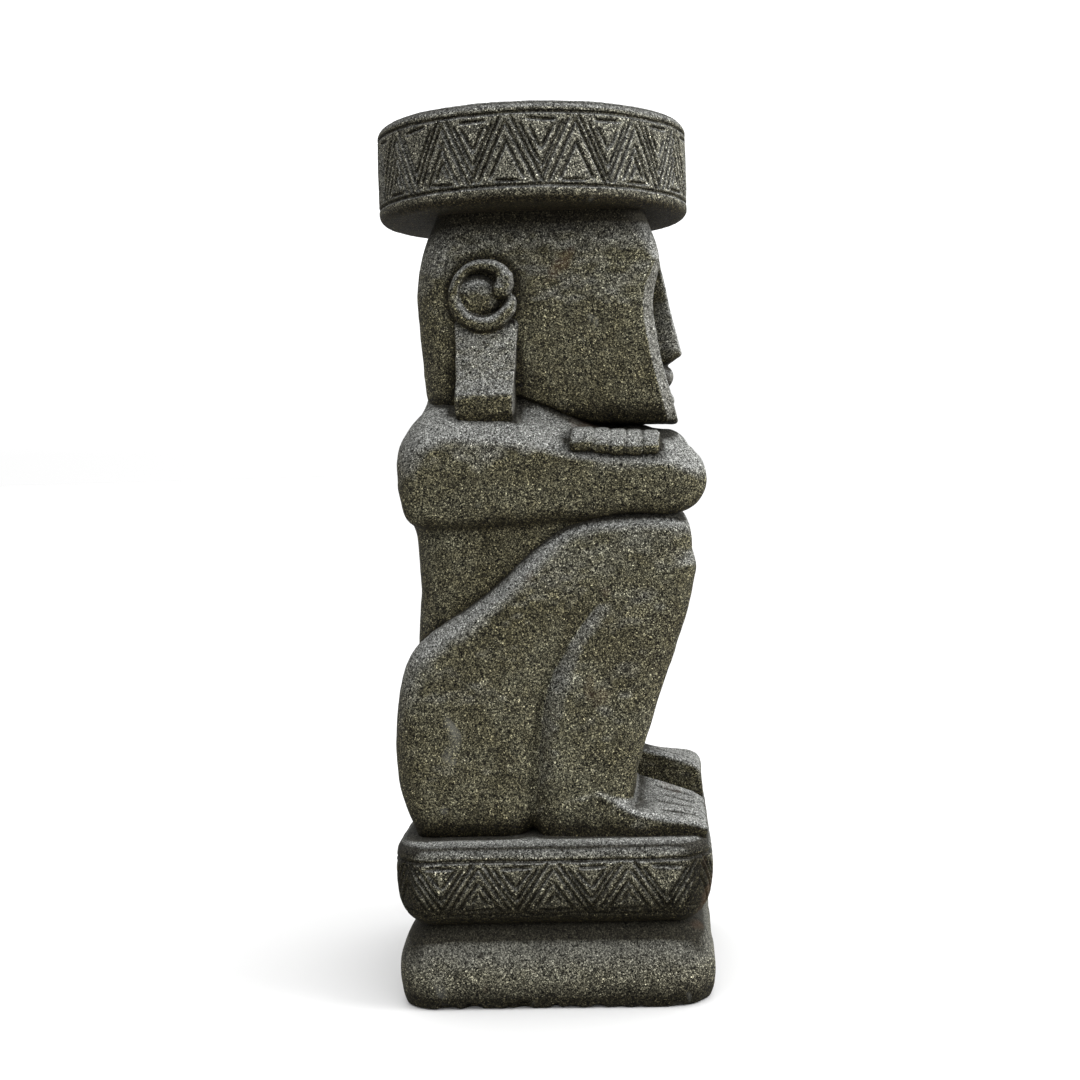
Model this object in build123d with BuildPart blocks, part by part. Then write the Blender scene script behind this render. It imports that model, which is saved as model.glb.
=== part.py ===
"""Seated stone tiki figure with a drum-shaped headdress, on a carved two-tier plinth.

Millimetres. +Z is up, the figure looks along -Y, and its right side is towards -X.
The origin is on the ground, under the middle of the overall box.
Each node is one carved section of the figure, and neighbours meet face to face.
"""

import os

from build123d import *

os.makedirs("parts", exist_ok=True)

# --- Driving dimensions -----------------------------------------------------
TOTAL_HEIGHT = 1000.0

HAT_RADIUS = 183.5
HAT_UNDERSIDE = 890.0
HAT_SET_BACK = 5.5
HAT_RIM_ROUND = 14.0
HAT_LINE_HEIGHTS = (907.0, 986.0)

PLINTH_WIDTH = 346.0
PLINTH_LENGTH = 358.0
PLINTH_FORWARD = 5.0
PLINTH_CORNER = 46.0
WAIST_HEIGHT = 90.0
SEAT_HEIGHT = 183.0
PLINTH_LINE_HEIGHTS = (104.0, 166.5)

LINE_WIDTH = 3.4
LINE_DEPTH = 2.6

LEG_INNER = 8.0
LEG_OUTER = 143.0
LEG_GAP_FOOT = 26.0
LEG_GAP_KNEE = 9.0
CALF_GROOVE_RADIUS = 9.0

FOOT_INNER = 26.0
FOOT_OUTER = 145.0
TOE_COUNT = 5
TOE_GROOVE_WIDTH = 4.0

ARM_INNER = 72.0
ARM_OUTER = 150.0
ARM_ROUNDING = 18.0

HEAD_BOTTOM = 648.0
FACE_DEPTH = 8.0

EAR_CENTRE = (-56.5, 795.0)
EAR_RADIUS = 39.0
EAR_BAND = 14.0
EAR_OUT = 118.5
HEAD_SIDE = 112.0

FINGER_COUNT = 5
FINGER_RADIUS = 9.9
FINGER_PITCH = 19.6
HAND_FORWARD = 88.0

# Local x is forward and local y is up, seen from the figure's right side.
SIDE = Plane(origin=(0, 0, 0), x_dir=(0, -1, 0), z_dir=(-1, 0, 0))


def at(forward, up, out):
    """A point from how far forward, up and out to the figure's right it lies."""
    return (-out, -forward, up)


def rounded_outline(corners):
    """A closed line through (forward, up, radius) corners, each rounded to its own radius."""
    points = [(forward, up) for forward, up, radius in corners]
    return FilletPolyline(*points, radius=[radius for forward, up, radius in corners], close=True)


def save(part, name):
    """Labels a finished section and writes it as its own STEP file."""
    part.label = name
    export_step(part, f"parts/{name}.step")


def mirrored(part):
    """The same section on the figure's other side."""
    with BuildPart() as other:
        mirror(part, about=Plane.YZ)
    return other.part


# --- Plinth -----------------------------------------------------------------
def cushion(levels):
    """A block with rounded corners, lofted through (height, inset) levels."""
    with BuildPart() as block:
        for height, inset in levels:
            with BuildSketch(Plane.XY.offset(height)):
                with Locations((0, -PLINTH_FORWARD)):
                    RectangleRounded(
                        PLINTH_WIDTH - 2 * inset,
                        PLINTH_LENGTH - 2 * inset,
                        PLINTH_CORNER - inset / 2,
                    )
        loft()
    return block.part


GROUND_LEVELS = ((0, 11), (10, 3), (30, 0), (52, 1), (70, 8), (82, 17), (WAIST_HEIGHT, 27))
FRIEZE_LEVELS = ((WAIST_HEIGHT, 27), (98, 15), (108, 7), (121, 3), (140, 1), (160, 0), (173, 2), (SEAT_HEIGHT, 8))

with BuildPart() as ground_block:
    add(cushion(GROUND_LEVELS))

save(ground_block.part, "ground_block")


def frieze_inset(height):
    """How far the frieze block's wall stands in at a height, between its levels."""
    for (low, low_inset), (high, high_inset) in zip(FRIEZE_LEVELS, FRIEZE_LEVELS[1:]):
        if low <= height <= high:
            share = (height - low) / (high - low)
            return low_inset + share * (high_inset - low_inset)
    return 0.0


with BuildPart() as frieze_block:
    add(cushion(FRIEZE_LEVELS))
    for line_height in PLINTH_LINE_HEIGHTS:
        wall_inset = frieze_inset(line_height)
        with BuildSketch(Plane.XY.offset(line_height - LINE_WIDTH / 2)):
            with Locations((0, -PLINTH_FORWARD)):
                RectangleRounded(PLINTH_WIDTH + 20, PLINTH_LENGTH + 20, PLINTH_CORNER)
                RectangleRounded(
                    PLINTH_WIDTH - 2 * (wall_inset + LINE_DEPTH),
                    PLINTH_LENGTH - 2 * (wall_inset + LINE_DEPTH),
                    PLINTH_CORNER - wall_inset / 2 - LINE_DEPTH,
                    mode=Mode.SUBTRACT,
                )
        extrude(amount=LINE_WIDTH, mode=Mode.SUBTRACT)

save(frieze_block.part, "frieze_block")


# --- Headdress --------------------------------------------------------------
with BuildPart() as hat:
    with BuildSketch(Plane.XZ.offset(-HAT_SET_BACK)) as hat_profile:
        with Locations((0, HAT_UNDERSIDE)):
            Rectangle(HAT_RADIUS, TOTAL_HEIGHT - HAT_UNDERSIDE, align=(Align.MIN, Align.MIN))
        rim = hat_profile.vertices().group_by(Axis.X)[-1]
        fillet(rim, HAT_RIM_ROUND)
        for line_height in HAT_LINE_HEIGHTS:
            with Locations((HAT_RADIUS, line_height)):
                Rectangle(2 * LINE_DEPTH, LINE_WIDTH, mode=Mode.SUBTRACT)
    revolve(axis=Axis((0, HAT_SET_BACK, 0), (0, 0, 1)))

save(hat.part, "hat")


# --- Head -------------------------------------------------------------------
# Each row: height, back, front, half width, back corner radius, front corner cut.
HEAD_LEVELS = (
    (HEAD_BOTTOM, -122, 155, 92, 34, 9),
    (662, -126, 152, 100, 36, 9),
    (690, -132, 144, 107, 38, 10),
    (720, -133, 136, 111, 40, 10),
    (750, -134, 130, 113, 42, 10),
    (780, -136, 126, 114, 44, 10),
    (806, -136, 129, 113, 44, 11),
    (826, -135, 139, 112, 44, 14),
    (846, -131, 142, 110, 44, 24),
    (868, -124, 136, 107, 44, 30),
    (HAT_UNDERSIDE, -113, 128, 103, 44, 34),
)


def head_block(front_inset):
    """The head's outer mass, with its front face set back by front_inset."""
    with BuildPart() as block:
        for height, back, front, half, round_back, cut_front in HEAD_LEVELS:
            front -= front_inset
            with BuildSketch(Plane.XY.offset(height)) as level:
                with Locations((0, -(back + front) / 2)):
                    Rectangle(2 * half, front - back)
                fillet(level.vertices().group_by(Axis.Y)[-1], round_back)
                fillet(level.vertices().group_by(Axis.Y)[0], cut_front)
        loft()
    return block.part


# The jaw's underside, from the chin back to the nape.
JAW_LINE = ((175, 646), (120, 650), (72, 656), (26, 668), (-20, 677), (-140, 680))

with BuildPart() as jaw_room:
    with BuildSketch(SIDE):
        with BuildLine():
            Polyline(*JAW_LINE, (-140, 620), (175, 620), close=True)
        make_face()
    extrude(amount=HEAD_SIDE + 20, both=True)

# The sunken field of the face, seen from the front: half of it, from the nose root down to the chin.
FACE_FIELD = ((0, 828), (34, 832), (70, 822), (90, 796), (92, 765), (87, 728), (74, 692), (46, 668), (0, 661))

with BuildPart() as face_field:
    with BuildSketch(Plane.XZ):
        with BuildLine():
            Spline(*FACE_FIELD)
            Line(FACE_FIELD[-1], FACE_FIELD[0])
        make_face()
        mirror(about=Plane.YZ)
    extrude(amount=200)

with BuildPart() as face_recess:
    add(face_field.part)
    add(head_block(FACE_DEPTH), mode=Mode.SUBTRACT)

with BuildPart() as head:
    add(head_block(0))
    add(jaw_room.part, mode=Mode.SUBTRACT)
    add(face_recess.part, mode=Mode.SUBTRACT)

save(head.part, "head")

# The nose runs from the brow to a flat underside.
NOSE_PROFILE = ((105, 836), (143, 836), (149, 814), (153, 790), (158, 768), (166, 729), (150, 719), (105, 722))
NOSE_ROOT_HALF = 9.0
NOSE_WING_HALF = 25.0

with BuildPart() as nose:
    with BuildSketch(SIDE):
        with BuildLine():
            Polyline(*NOSE_PROFILE, close=True)
        make_face()
    extrude(amount=NOSE_WING_HALF, both=True)
    with BuildSketch(Plane.XZ):
        with BuildLine():
            Polyline(
                (-NOSE_ROOT_HALF, 840),
                (NOSE_ROOT_HALF, 840),
                (NOSE_WING_HALF, 732),
                (NOSE_WING_HALF, 715),
                (-NOSE_WING_HALF, 715),
                (-NOSE_WING_HALF, 732),
                close=True,
            )
        make_face()
    extrude(amount=200, mode=Mode.INTERSECT)
    add(head.part, mode=Mode.SUBTRACT)

save(nose.part, "nose")


def face_pad(centre, half_length, half_height, front, rounding, lean=0.0):
    """A lens-shaped swelling on the face, such as an eyelid or the lips."""
    across, up = centre
    with BuildPart() as pad:
        with BuildSketch(Plane.XZ.offset(100)):
            with Locations(Location((across, up), lean)):
                Ellipse(half_length, half_height)
        extrude(amount=front - 100)
        rim_edges = pad.edges().filter_by(GeomType.ELLIPSE).group_by(Axis.Y)[0]
        fillet(rim_edges, rounding)
        add(head.part, mode=Mode.SUBTRACT)
    return pad.part


EYE_ACROSS = 46.0
EYE_HEIGHT = 783.0

right_eye = face_pad((-EYE_ACROSS, EYE_HEIGHT), 22, 9.5, 125, 3.6, 6)
upper_lip = face_pad((0, 697), 32, 7.5, 156, 1.5)
lower_lip = face_pad((0, 679), 29, 7.5, 157, 1.5)

save(right_eye, "right_eye")
save(mirrored(right_eye), "left_eye")
save(upper_lip, "upper_lip")
save(lower_lip, "lower_lip")


# --- Ears -------------------------------------------------------------------
BAND_RADIUS = EAR_RADIUS - EAR_BAND / 2
CURL_RADIUS = 14.0

with BuildPart() as right_ear:
    with BuildSketch(SIDE.offset(90)):
        with Locations(EAR_CENTRE):
            Circle(EAR_RADIUS - 3)
    extrude(amount=EAR_OUT - 3 - 90)
    with BuildLine(SIDE.offset(EAR_OUT)) as scroll:
        ring = CenterArc(EAR_CENTRE, BAND_RADIUS, -12, -273)
        JernArc(ring @ 1, ring % 1, CURL_RADIUS, -200)
    with BuildSketch(Plane(origin=scroll.line @ 0, z_dir=scroll.line % 0)):
        Circle(EAR_BAND / 2)
    sweep(path=scroll.line)
    add(head.part, mode=Mode.SUBTRACT)

save(right_ear.part, "right_ear")
save(mirrored(right_ear.part), "left_ear")

# The long ear pendant hangs from the ring, thickens downwards and is cut off at a slant.
PENDANT_TOP = 768.0
PENDANT_BOTTOM = 650.0

with BuildPart() as right_pendant:
    with BuildSketch(SIDE.offset(90)):
        with BuildLine():
            Polyline(
                (-90, PENDANT_TOP),
                (-20, PENDANT_TOP),
                (-29, PENDANT_BOTTOM),
                (-89, PENDANT_BOTTOM),
                close=True,
            )
        make_face()
    extrude(amount=60)
    with BuildSketch(Plane.XZ):
        with BuildLine():
            Polyline(
                (-90, PENDANT_TOP),
                (-120, PENDANT_TOP),
                (-134, 672),
                (-127, PENDANT_BOTTOM),
                (-90, PENDANT_BOTTOM),
                close=True,
            )
        make_face()
    extrude(amount=200, both=True, mode=Mode.INTERSECT)
    add(head.part, mode=Mode.SUBTRACT)
    add(right_ear.part, mode=Mode.SUBTRACT)

with BuildPart() as left_pendant:
    add(mirrored(right_pendant.part))

save(right_pendant.part, "right_pendant")
save(left_pendant.part, "left_pendant")


# --- Arms -------------------------------------------------------------------
# The outline of shoulder, upper arm and elbow, which lie along the top of the knee.
ARM_LINE = (
    (-146, 533, 22),
    (165, 547, 22),
    (190, 572, 20),
    (186, 602, 20),
    (148, 620, 24),
    (60, 627, 60),
    (14, 646, 60),
    (-60, 667, 60),
    (-122, 672, 24),
    (-152, 645, 30),
    (-164, 595, 50),
)

with BuildPart() as right_arm:
    with BuildSketch(SIDE.offset(ARM_INNER)):
        with BuildLine():
            rounded_outline(ARM_LINE)
        make_face()
    extrude(amount=ARM_OUTER - ARM_INNER)
    fillet(right_arm.edges().group_by(Axis.X)[0], ARM_ROUNDING)
    for neighbour in (head, right_pendant):
        add(neighbour.part, mode=Mode.SUBTRACT)
with BuildPart() as left_arm:
    add(mirrored(right_arm.part))

save(right_arm.part, "right_arm")
save(left_arm.part, "left_arm")


# --- Torso ------------------------------------------------------------------
# Each row: height, back, front, half width.
TORSO_LEVELS = (
    (SEAT_HEIGHT, -146, 70, 98),
    (260, -154, 74, 100),
    (340, -156, 76, 104),
    (400, -150, 80, 112),
    (450, -143, 84, 119),
    (520, -146, 86, 124),
    (555, -153, 86, 128),
    (600, -158, 86, 130),
    (640, -150, 80, 124),
    (688, -118, 60, 92),
)
TORSO_CORNER = 38.0

with BuildPart() as torso:
    for height, back, front, half in TORSO_LEVELS:
        with BuildSketch(Plane.XY.offset(height)):
            with Locations((0, -(back + front) / 2)):
                RectangleRounded(2 * half, front - back, TORSO_CORNER)
    loft(ruled=True)
    for neighbour in (head, right_pendant, left_pendant, right_arm, left_arm):
        add(neighbour.part, mode=Mode.SUBTRACT)

save(torso.part, "torso")


# --- Feet -------------------------------------------------------------------
FOOT_HEEL = 80.0
FOOT_LINE = ((FOOT_HEEL, 257), (96, 251), (122, 241), (152, 229), (170, 218), (177, 205), (175, SEAT_HEIGHT))
TOE_LINE = ((122, 270), (122, 236), (150, 224), (166, 213), (170, 200), (170, 178), (200, 178), (200, 270))
TOE_PITCH = (FOOT_OUTER - FOOT_INNER) / TOE_COUNT

with BuildPart() as right_foot:
    with BuildSketch(SIDE.offset(FOOT_INNER)):
        with BuildLine():
            Spline(*FOOT_LINE)
            Polyline(FOOT_LINE[-1], (FOOT_HEEL, SEAT_HEIGHT), FOOT_LINE[0])
        make_face()
    extrude(amount=FOOT_OUTER - FOOT_INNER)
    fillet(right_foot.edges().filter_by(GeomType.BSPLINE), 9)
    for groove in range(1, TOE_COUNT):
        with BuildSketch(SIDE.offset(FOOT_INNER + groove * TOE_PITCH - TOE_GROOVE_WIDTH / 2)):
            with BuildLine():
                Polyline(*TOE_LINE, close=True)
            make_face()
        extrude(amount=TOE_GROOVE_WIDTH, mode=Mode.SUBTRACT)

save(right_foot.part, "right_foot")
save(mirrored(right_foot.part), "left_foot")


# --- Legs -------------------------------------------------------------------
# The outline from the seat, up over hip, thigh and knee, and down the shin.
LEG_LINE = (
    (-155, SEAT_HEIGHT, 0),
    (-170, 230, 80),
    (-174, 310, 110),
    (-153, 400, 55),
    (-90, 453, 120),
    (20, 532, 90),
    (92, 548, 60),
    (160, 546, 25),
    (184, 492, 30),
    (150, 388, 200),
    (104, 250, 60),
    (94, SEAT_HEIGHT, 0),
)
LEG_ROUNDING = 21.0
LEG_INNER_ROUNDING = 14.0

# The groove between thigh and calf.
CALF_LINE = ((58, 443), (40, 421), (18, 386), (0, 345), (-8, 300), (-12, 255), (-16, 215), (-20, 170))

with BuildPart() as leg_gap:
    with BuildSketch(Plane.XZ):
        with BuildLine():
            Polyline(
                (-LEG_GAP_FOOT, SEAT_HEIGHT),
                (LEG_GAP_FOOT, SEAT_HEIGHT),
                (LEG_GAP_KNEE, 560),
                (-LEG_GAP_KNEE, 560),
                close=True,
            )
        make_face()
    extrude(amount=220)

with BuildPart() as right_leg:
    with BuildSketch(SIDE.offset(LEG_INNER)):
        with BuildLine():
            rounded_outline(LEG_LINE)
        make_face()
    extrude(amount=LEG_OUTER - LEG_INNER)
    fillet(right_leg.edges().group_by(Axis.X)[0].group_by(Axis.Z)[1:], LEG_ROUNDING)
    fillet(right_leg.edges().group_by(Axis.X)[-1].group_by(Axis.Z)[1:], LEG_INNER_ROUNDING)
    with BuildLine(SIDE.offset(LEG_OUTER + 3)) as calf:
        Spline(*CALF_LINE)
    with BuildSketch(Plane(origin=calf.line @ 0, z_dir=calf.line % 0)):
        Circle(CALF_GROOVE_RADIUS)
    sweep(path=calf.line, mode=Mode.SUBTRACT)
    for neighbour in (leg_gap, torso, right_arm, right_foot):
        add(neighbour.part, mode=Mode.SUBTRACT)
with BuildPart() as left_leg:
    add(mirrored(right_leg.part))

save(right_leg.part, "right_leg")
save(left_leg.part, "left_leg")


# --- Hands ------------------------------------------------------------------
# The left hand lies on the right arm, with its fingers curled over the side.
PALM_IN, PALM_OUT = 52.0, 88.0
KNUCKLE_OUT = 118.0
FINGER_HEIGHT = 630.0
FINGER_SLOPE = 0.06
FINGER_BEND = 24.0

with BuildPart() as left_hand:
    with BuildSketch(SIDE.offset(PALM_IN)):
        with Locations((HAND_FORWARD, FINGER_HEIGHT - 8)):
            RectangleRounded(FINGER_COUNT * FINGER_PITCH, 32, 9)
    extrude(amount=PALM_OUT - PALM_IN)
    for number in range(FINGER_COUNT):
        along = (number - (FINGER_COUNT - 1) / 2) * FINGER_PITCH
        height = FINGER_HEIGHT - FINGER_SLOPE * along
        across = Plane(origin=(0, -HAND_FORWARD - along, 0), x_dir=(-1, 0, 0), z_dir=(0, 1, 0))
        with BuildLine(across) as bone:
            knuckle = Line((PALM_OUT - 6, height), (KNUCKLE_OUT, height))
            JernArc(knuckle @ 1, knuckle % 1, FINGER_BEND, -62)
        with BuildSketch(Plane(origin=bone.line @ 0, z_dir=bone.line % 0)):
            Circle(FINGER_RADIUS)
        sweep(path=bone.line)
        with Locations(bone.line @ 1):
            Sphere(FINGER_RADIUS)
    for neighbour in (right_arm, torso, head):
        add(neighbour.part, mode=Mode.SUBTRACT)
with BuildPart() as right_hand:
    add(mirrored(left_hand.part))

save(left_hand.part, "left_hand")
save(right_hand.part, "right_hand")


# --- Forearms ---------------------------------------------------------------
# The forearms cross in front of the chest, the left one lying over the right.
ELBOW = (146, 586, ARM_INNER + 24)
ELBOW_RADIUS = 36.0


def limb(stations):
    """Adds a tapering rod with rounded joints through (point, radius) stations."""
    for (start, start_radius), (end, end_radius) in zip(stations, stations[1:]):
        run = Vector(*end) - Vector(*start)
        with Locations(Plane(origin=start, z_dir=run)):
            Cone(start_radius, end_radius, run.length, align=(Align.CENTER, Align.CENTER, Align.MIN))
    for point, radius in stations:
        with Locations(point):
            Sphere(radius)


with BuildPart() as left_forearm:
    elbow_forward, elbow_up, elbow_out = ELBOW
    limb(
        (
            (at(elbow_forward, elbow_up, -elbow_out), ELBOW_RADIUS),
            (at(134, 612, 0), 29),
            (at(96, 616, 62), 24),
        )
    )
    for neighbour in (left_arm, right_arm, left_leg, right_leg, left_hand, right_hand, head, torso):
        add(neighbour.part, mode=Mode.SUBTRACT)

with BuildPart() as right_forearm:
    limb(
        (
            (at(*ELBOW), ELBOW_RADIUS),
            (at(154, 578, 0), 31),
            (at(128, 592, -50), 16),
        )
    )
    for neighbour in (left_forearm, left_arm, right_arm, left_leg, right_leg, left_hand, right_hand, head, torso):
        add(neighbour.part, mode=Mode.SUBTRACT)

save(right_forearm.part, "right_forearm")
save(left_forearm.part, "left_forearm")
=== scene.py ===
"""A seated tiki figure and its plinth, carved from one block of speckled grey-olive stone.

The carving is worked out in millimetres and finished in metres. Forward is -Y, the figure's
right side is -X and up is +Z. Points are given as (out to the right, forward, up).
"""

import math
import random

import bpy
import numpy as np
import openvdb
from mathutils import Matrix, Vector


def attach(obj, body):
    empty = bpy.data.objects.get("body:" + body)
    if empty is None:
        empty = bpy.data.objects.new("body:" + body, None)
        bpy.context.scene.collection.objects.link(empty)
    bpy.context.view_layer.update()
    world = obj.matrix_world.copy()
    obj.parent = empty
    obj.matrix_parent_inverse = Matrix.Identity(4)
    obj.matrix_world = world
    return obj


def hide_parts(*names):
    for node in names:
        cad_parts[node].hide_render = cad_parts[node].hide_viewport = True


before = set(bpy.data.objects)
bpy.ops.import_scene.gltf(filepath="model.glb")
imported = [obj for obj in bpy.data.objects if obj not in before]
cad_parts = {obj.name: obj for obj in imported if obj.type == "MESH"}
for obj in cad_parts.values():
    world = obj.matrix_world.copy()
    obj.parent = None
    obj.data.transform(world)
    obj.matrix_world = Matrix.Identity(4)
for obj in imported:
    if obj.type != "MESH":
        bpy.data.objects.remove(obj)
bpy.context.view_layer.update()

MM = 0.001
ROUGH = 1.0
EMPTY = 60.0
LOWEST, HIGHEST = (-999, -999, -999), (999, 999, 999)
NEAR_SHELTER, WIDE_SHELTER, PROUD_DEPTH = 12, 36, 7


# --- Carving in a block of space ---------------------------------------------
def melt(a, b, soft):
    """Two masses as one, with the crease between them softened."""
    share = np.clip(0.5 + 0.5 * (b - a) / soft, 0, 1)
    return b + (a - b) * share - soft * share * (1 - share)


def trim(a, b, soft):
    """What two masses share, with the edge between them softened."""
    return -melt(-a, -b, soft)


def eased(a, b, radius):
    """What two masses share, with the edge between them rounded to a radius."""
    inner = np.minimum(np.maximum(a + radius, b + radius), 0)
    return inner + np.hypot(np.maximum(a + radius, 0), np.maximum(b + radius, 0)) - radius


def smooth_line(points, closed=False, steps=6):
    """Points along a smooth curve through the given ones, each a tuple of any length."""
    points = np.array(points, dtype=float)
    count = len(points)
    fine = []
    for i in range(count if closed else count - 1):
        if closed:
            before, start, end, after = (points[(i + k) % count] for k in (-1, 0, 1, 2))
        else:
            before, start, end, after = (points[min(max(i + k, 0), count - 1)] for k in (-1, 0, 1, 2))
        for step in range(steps):
            t = step / steps
            fine.append(
                0.5
                * (
                    2 * start
                    + (end - before) * t
                    + (2 * before - 5 * start + 4 * end - after) * t**2
                    + (3 * start - before - 3 * end + after) * t**3
                )
            )
    if not closed:
        fine.append(points[-1])
    return np.array(fine)


def interp(place, places, values):
    """np.interp in single precision, like the fields."""
    return np.interp(place, places, values).astype(np.float32)


def outline(u, v, corners):
    """Distance to a closed flat outline, negative inside it."""
    nearest = np.full(np.broadcast_shapes(u.shape, v.shape), 1e9, dtype=np.float32)
    inside = np.zeros(nearest.shape, dtype=bool)
    for (u0, v0), (u1, v1) in zip(corners, np.roll(corners, -1, axis=0)):
        du, dv = u1 - u0, v1 - v0
        along = np.clip(((u - u0) * du + (v - v0) * dv) / (du * du + dv * dv + 1e-9), 0, 1)
        nearest = np.minimum(nearest, (u - u0 - along * du) ** 2 + (v - v0 - along * dv) ** 2)
        if v0 != v1:
            inside ^= ((v0 <= v) != (v1 <= v)) & (u < u0 + (v - v0) * du / dv)
    return np.where(inside, -1, 1) * np.sqrt(nearest)


def rod(x, f, z, stations):
    """Distance to a rod through (out, forward, up, radius) stations."""
    nearest = 1e9
    for (x0, f0, z0, r0), (x1, f1, z1, r1) in zip(stations, stations[1:]):
        dx, df, dz = x1 - x0, f1 - f0, z1 - z0
        along = ((x - x0) * dx + (f - f0) * df + (z - z0) * dz) / (dx * dx + df * df + dz * dz + 1e-9)
        along = np.clip(along, 0, 1)
        gap = np.sqrt((x - x0 - along * dx) ** 2 + (f - f0 - along * df) ** 2 + (z - z0 - along * dz) ** 2)
        nearest = np.minimum(nearest, gap - (r0 + (r1 - r0) * along))
    return nearest


def egg(x, f, z, centre, radii):
    """Distance to an egg-shaped mass, exact enough near its surface."""
    a, b, c = ((p - q) / r for p, q, r in zip((x, f, z), centre, radii))
    length = np.sqrt(a * a + b * b + c * c)
    return (length - 1) * min(radii)


def upright(x, f, half, back, front, corner):
    """Distance to an upright block whose plan is a rectangle with round corners."""
    a = np.abs(x) - half + corner
    b = np.abs(f - (back + front) / 2) - (front - back) / 2 + corner
    return np.minimum(np.maximum(a, b), 0) + np.hypot(np.maximum(a, 0), np.maximum(b, 0)) - corner


def by_height(rows):
    """Smooth functions of height, from rows of (height, value, value...)."""
    fine = smooth_line(rows)
    return [lambda z, values=values: interp(z, fine[:, 0], values) for values in fine.T[1:]]


class Carving:
    """A block of space in which a piece is carved, as a field of distances to its surface."""

    def __init__(self, low, high, step):
        """low and high are (x, y, z) corners in millimetres."""
        self.step = step * ROUGH
        self.low = np.array(low, dtype=np.float32)
        counts = [int((b - a) / self.step) + 2 for a, b in zip(low, high)]
        self.axes = [(a + self.step * np.arange(n)).astype(np.float32) for a, n in zip(self.low, counts)]
        self.field = np.full(counts, EMPTY, dtype=np.float32)

    def room(self, low, high):
        """The part of the block between two (out, forward, up) corners, and where it is."""
        spans = []
        for axis, a, b in zip(self.axes, (-high[0], -high[1], low[2]), (-low[0], -low[1], high[2])):
            first, last = np.searchsorted(axis, (a, b))
            spans.append(slice(max(first - 1, 0), last + 1))
        x, y, z = (axis[span] for axis, span in zip(self.axes, spans))
        return tuple(spans), -x[:, None, None], -y[None, :, None], z[None, None, :]

    def work(self, change, low=LOWEST, high=HIGHEST):
        """Replaces the field in a room by change(field, out, forward, up)."""
        where, x, f, z = self.room(low, high)
        self.field[where] = change(self.field[where], x, f, z)

    def join(self, shape, soft, low=LOWEST, high=HIGHEST):
        """Adds a mass to the piece, with the crease between them softened."""
        self.work(lambda field, x, f, z: melt(field, shape(x, f, z), soft), low, high)

    def lumps(self, size, height, seed):
        """Adds soft random unevenness of a size and height."""
        rng = np.random.default_rng(seed)
        weights = []
        for axis in self.axes:
            place = (axis - axis[0]) / size + rng.uniform(0, 1)
            cell = place.astype(int)
            share = place - cell
            share = share * share * (3 - 2 * share)
            weight = np.zeros((len(axis), cell.max() + 2), dtype=np.float32)
            rows = np.arange(len(axis))
            weight[rows, cell] = 1 - share
            weight[rows, cell + 1] = share
            weights.append(weight)
        lattice = rng.uniform(-1, 1, [w.shape[1] for w in weights]).astype(np.float32)
        for weight in weights:
            lattice = np.tensordot(lattice, weight, axes=(0, 1))
        self.field += height * lattice

    def sample(self, points):
        """The field at (x, y, z) points, in millimetres."""
        place = (points - self.low) / self.step
        limit = np.array(self.field.shape) - 2
        cell = np.clip(place.astype(int), 0, limit)
        share = np.clip(place - cell, 0, 1)
        total = 0
        for corner in np.ndindex(2, 2, 2):
            weight = np.prod(np.where(corner, share, 1 - share), axis=1)
            total = total + weight * self.field[tuple((cell + corner).T)]
        return total

    def finish(self, name, mirrored=False):
        """The carved piece as a mesh. Its field is kept, to tell later what shelters what."""
        for axis in range(3):
            rim = [slice(None)] * 3
            for end in (0, -1):
                rim[axis] = end
                self.field[tuple(rim)] = np.maximum(self.field[tuple(rim)], 2.0)
        grid = openvdb.FloatGrid(EMPTY)
        grid.copyFromArray(self.field)
        points, _, quads = grid.convertToPolygons(0.0, 0.0)
        points = self.low + points * self.step
        piece = new_piece(name, points * MM, quads)
        if mirrored:
            flip(piece)
        carved.append((self, mirrored))
        return piece


carved = []


def clearance(points):
    """Distance from (x, y, z) points to the nearest stone of any piece, in millimetres."""
    nearest = np.minimum(EMPTY, points[:, 2])
    for carving, mirrored in carved:
        spots = points * (-1, 1, 1) if mirrored else points
        high = carving.low + (np.array(carving.field.shape) - 1) * carving.step
        near = np.nonzero(np.all((spots > carving.low) & (spots < high), axis=1))[0]
        nearest[near] = np.minimum(nearest[near], carving.sample(spots[near]))
    x, y, z = points.T
    drum = np.maximum(np.hypot(x, y - HAT_BACK) - HAT_RADIUS, np.abs(z - 945) - 55)
    band = np.maximum(np.maximum(np.abs(x) - PLINTH_HALF_WIDTH, np.abs(y + 5) - 179), np.abs(z - 137) - 48)
    return np.minimum(nearest, np.minimum(drum, band))


def mark_shade_and_highlight_masks(piece):
    """Marks how sheltered and how proud each point of a piece stands, for the stone's painted shade in
    creases and recesses, partly grime, and its painted highlight on proud edges.
    """
    mesh = piece.data
    points = np.zeros(len(mesh.vertices) * 3, dtype=np.float32)
    normals = points.copy()
    mesh.vertices.foreach_get("co", points)
    mesh.vertex_normals.foreach_get("vector", normals)
    points, normals = points.reshape(-1, 3) / MM, normals.reshape(-1, 3)
    near = np.clip(1 - clearance(points + normals * NEAR_SHELTER) / NEAR_SHELTER, 0, 1)
    wide = np.clip(1 - clearance(points + normals * WIDE_SHELTER) / WIDE_SHELTER, 0, 1)
    # sheltered: mask for painted shade in creases and recesses, partly crevice grime
    mark(piece, "sheltered", np.clip(0.65 * near + 0.65 * wide, 0, 1))
    # proud: mask for a painted highlight on proud edges
    mark(piece, "proud", np.clip(1 + clearance(points - normals * PROUD_DEPTH) / PROUD_DEPTH, 0, 1))


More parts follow.
